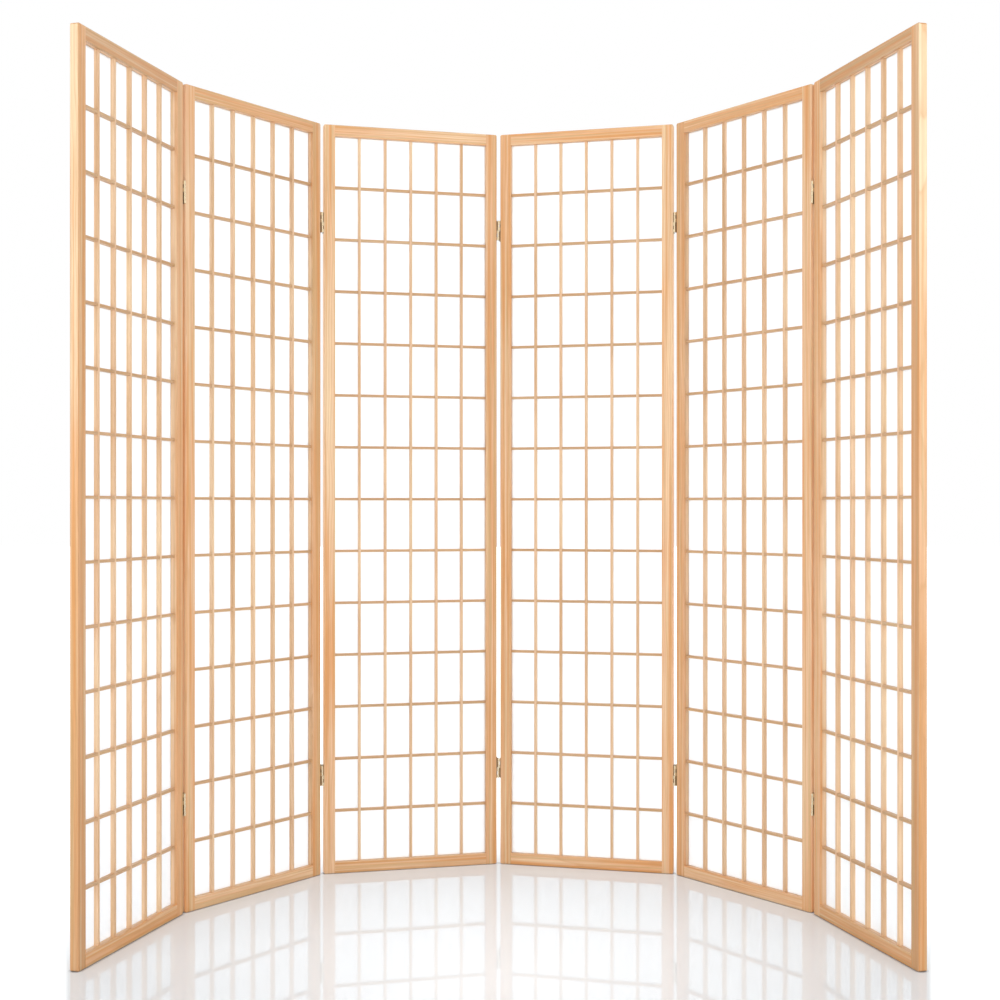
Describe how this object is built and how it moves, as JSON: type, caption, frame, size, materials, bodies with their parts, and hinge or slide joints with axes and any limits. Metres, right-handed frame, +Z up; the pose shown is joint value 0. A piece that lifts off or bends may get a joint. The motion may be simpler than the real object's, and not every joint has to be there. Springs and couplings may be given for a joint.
{
  "type": "folding screen",
  "caption": "Tall folding room divider of pine-framed lattice panels backed with white paper, joined by two-way brass hinges and standing in a shallow arc.",
  "frame": {"origin": "on the floor, under the middle of the whole screen's box as it stands in its arc", "axes": "+Z up; +Y from the front, where the panels open towards the viewer, to the back; +X to the viewer's right. The screen is a mirror image of itself about X = 0"},
  "size_m": [1.6168, 0.8958, 1.79],
  "materials": {
    "pine": "clear-varnished pine, satin",
    "pine_lattice": "clear-varnished pine bars, satin",
    "paper": "white fibre paper, matt, lets light through",
    "brass": "brass-plated steel, bright",
    "brass_screws": "brass-plated screws"
  },
  "bodies": {
    "panel_1": {"panel_1_left_stile": "pine", "panel_1_right_stile": "pine", "panel_1_rails": "pine", "panel_1_lattice": "pine_lattice", "panel_1_paper": "paper", "panel_1_beads": "pine_lattice", "panel_1_hinge_leaves": "brass", "panel_1_hinge_screws": "brass_screws"},
    "panel_2": {"panel_2_left_stile": "pine", "panel_2_right_stile": "pine", "panel_2_rails": "pine", "panel_2_lattice": "pine_lattice", "panel_2_paper": "paper", "panel_2_beads": "pine_lattice", "panel_2_hinge_leaves": "brass", "panel_2_hinge_screws": "brass_screws", "hinge_12_keepers": "brass"},
    "panel_3": {"panel_3_left_stile": "pine", "panel_3_right_stile": "pine", "panel_3_rails": "pine", "panel_3_lattice": "pine_lattice", "panel_3_paper": "paper", "panel_3_beads": "pine_lattice", "panel_3_hinge_leaves": "brass", "panel_3_hinge_screws": "brass_screws", "hinge_23_keepers": "brass", "hinge_34_keepers": "brass"},
    "panel_4": {"panel_4_left_stile": "pine", "panel_4_right_stile": "pine", "panel_4_rails": "pine", "panel_4_lattice": "pine_lattice", "panel_4_paper": "paper", "panel_4_beads": "pine_lattice", "panel_4_hinge_leaves": "brass", "panel_4_hinge_screws": "brass_screws", "hinge_45_keepers": "brass"},
    "panel_5": {"panel_5_left_stile": "pine", "panel_5_right_stile": "pine", "panel_5_rails": "pine", "panel_5_lattice": "pine_lattice", "panel_5_paper": "paper", "panel_5_beads": "pine_lattice", "panel_5_hinge_leaves": "brass", "panel_5_hinge_screws": "brass_screws", "hinge_56_keepers": "brass"},
    "panel_6": {"panel_6_left_stile": "pine", "panel_6_right_stile": "pine", "panel_6_rails": "pine", "panel_6_lattice": "pine_lattice", "panel_6_paper": "paper", "panel_6_beads": "pine_lattice", "panel_6_hinge_leaves": "brass", "panel_6_hinge_screws": "brass_screws"},
    "link_12": {"hinge_12_links": "brass"},
    "link_23": {"hinge_23_links": "brass"},
    "link_34": {"hinge_34_links": "brass"},
    "link_45": {"hinge_45_links": "brass"},
    "link_56": {"hinge_56_links": "brass"}
  },
  "joints": [
    {"name": "front_fold_34", "type": "hinge", "parent": "panel_3", "child": "link_34", "pos_m": [0, 0.42504, 0.895], "axis": [0, 0, -1], "range_deg": [-29, 81]},
    {"name": "back_fold_34", "type": "hinge", "parent": "link_34", "child": "panel_4", "pos_m": [0.00526, 0.44537, 0.895], "axis": [0, 0, 1], "range_deg": [0, 180]},
    {"name": "front_fold_23", "type": "hinge", "parent": "panel_3", "child": "link_23", "pos_m": [-0.42018, 0.31637, 0.895], "axis": [0, 0, 1], "range_deg": [-39.3, 112]},
    {"name": "back_fold_23", "type": "hinge", "parent": "link_23", "child": "panel_2", "pos_m": [-0.43712, 0.32878, 0.895], "axis": [0, 0, -1], "range_deg": [0, 180]},
    {"name": "front_fold_12", "type": "hinge", "parent": "panel_2", "child": "link_12", "pos_m": [-0.6765, -0.03385, 0.895], "axis": [0, 0, 1], "range_deg": [-20.9, 159.1]},
    {"name": "back_fold_12", "type": "hinge", "parent": "link_12", "child": "panel_1", "pos_m": [-0.69676, -0.02831, 0.895], "axis": [0, 0, -1], "range_deg": [0, 180]},
    {"name": "front_fold_45", "type": "hinge", "parent": "panel_4", "child": "link_45", "pos_m": [0.42018, 0.31637, 0.895], "axis": [0, 0, -1], "range_deg": [-39.3, 112]},
    {"name": "back_fold_45", "type": "hinge", "parent": "link_45", "child": "panel_5", "pos_m": [0.43712, 0.32878, 0.895], "axis": [0, 0, 1], "range_deg": [0, 180]},
    {"name": "front_fold_56", "type": "hinge", "parent": "panel_5", "child": "link_56", "pos_m": [0.6765, -0.03385, 0.895], "axis": [0, 0, -1], "range_deg": [-20.9, 159.1]},
    {"name": "back_fold_56", "type": "hinge", "parent": "link_56", "child": "panel_6", "pos_m": [0.69676, -0.02831, 0.895], "axis": [0, 0, 1], "range_deg": [0, 180]}
  ]
}
